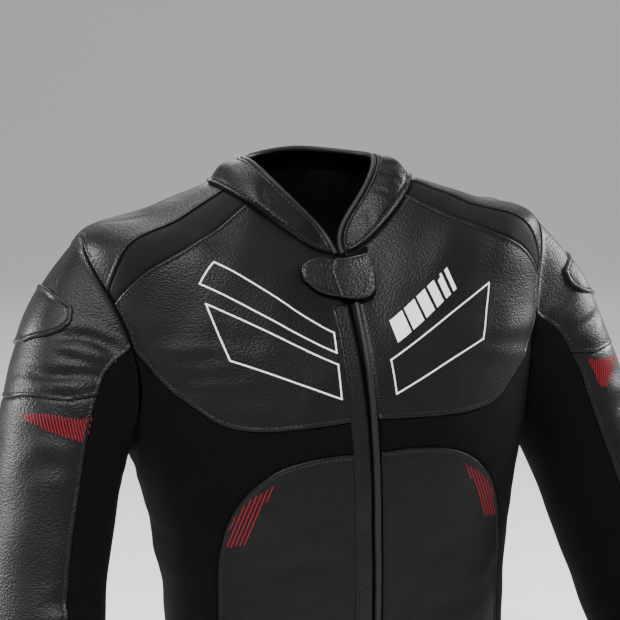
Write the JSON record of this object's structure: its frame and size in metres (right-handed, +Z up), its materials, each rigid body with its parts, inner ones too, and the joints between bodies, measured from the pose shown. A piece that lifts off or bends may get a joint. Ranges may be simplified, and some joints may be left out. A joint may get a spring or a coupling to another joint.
{
  "type": "leather motorcycle jacket",
  "caption": "Fitted leather motorcycle jacket in its worn, hollow shape, with stretch side panels, a stand collar, a throat tab and a front zip.",
  "frame": {"origin": "middle of the neck, level with the points where the collar seam crosses the shoulders, where the wearer holds it up", "axes": "+Z up, the front faces -Y, +X towards the wearer's left"},
  "size_m": [0.71, 0.383, 0.6667],
  "materials": {
    "black_leather": "black pebble-grain cowhide with a satin sheen, topstitched",
    "grey_leather": "smooth charcoal leather",
    "stretch_cloth": "dead-black matt stretch weave",
    "binding_leather": "smooth dark-grey rolled binding",
    "lining_cloth": "deep black lining",
    "zip_tape": "black woven zip tape",
    "zip_metal": "black lacquered zip metal"
  },
  "bodies": {
    "root": {"front_left": "black_leather", "front_right": "black_leather", "yoke_left": "black_leather", "yoke_right": "black_leather", "lower_front_left": "black_leather", "lower_front_right": "black_leather", "sleeve_upper_left": "black_leather", "sleeve_upper_right": "black_leather", "sleeve_lower_left": "black_leather", "sleeve_lower_right": "black_leather", "shoulder_insert_left": "grey_leather", "shoulder_insert_right": "grey_leather", "shoulder_patch_left": "grey_leather", "shoulder_patch_right": "grey_leather", "stretch_left": "stretch_cloth", "stretch_right": "stretch_cloth", "sleeve_inner_left": "stretch_cloth", "sleeve_inner_right": "stretch_cloth", "back": "black_leather", "collar": "black_leather", "collar_binding": "binding_leather", "collar_lining": "lining_cloth", "zip_tape": "zip_tape", "zip_facing_right": "black_leather", "zip_welt_left": "black_leather", "zip_slider": "zip_metal", "throat_tab": "black_leather", "throat_tab_end": "black_leather", "throat_underlay": "lining_cloth"}
  },
  "joints": []
}
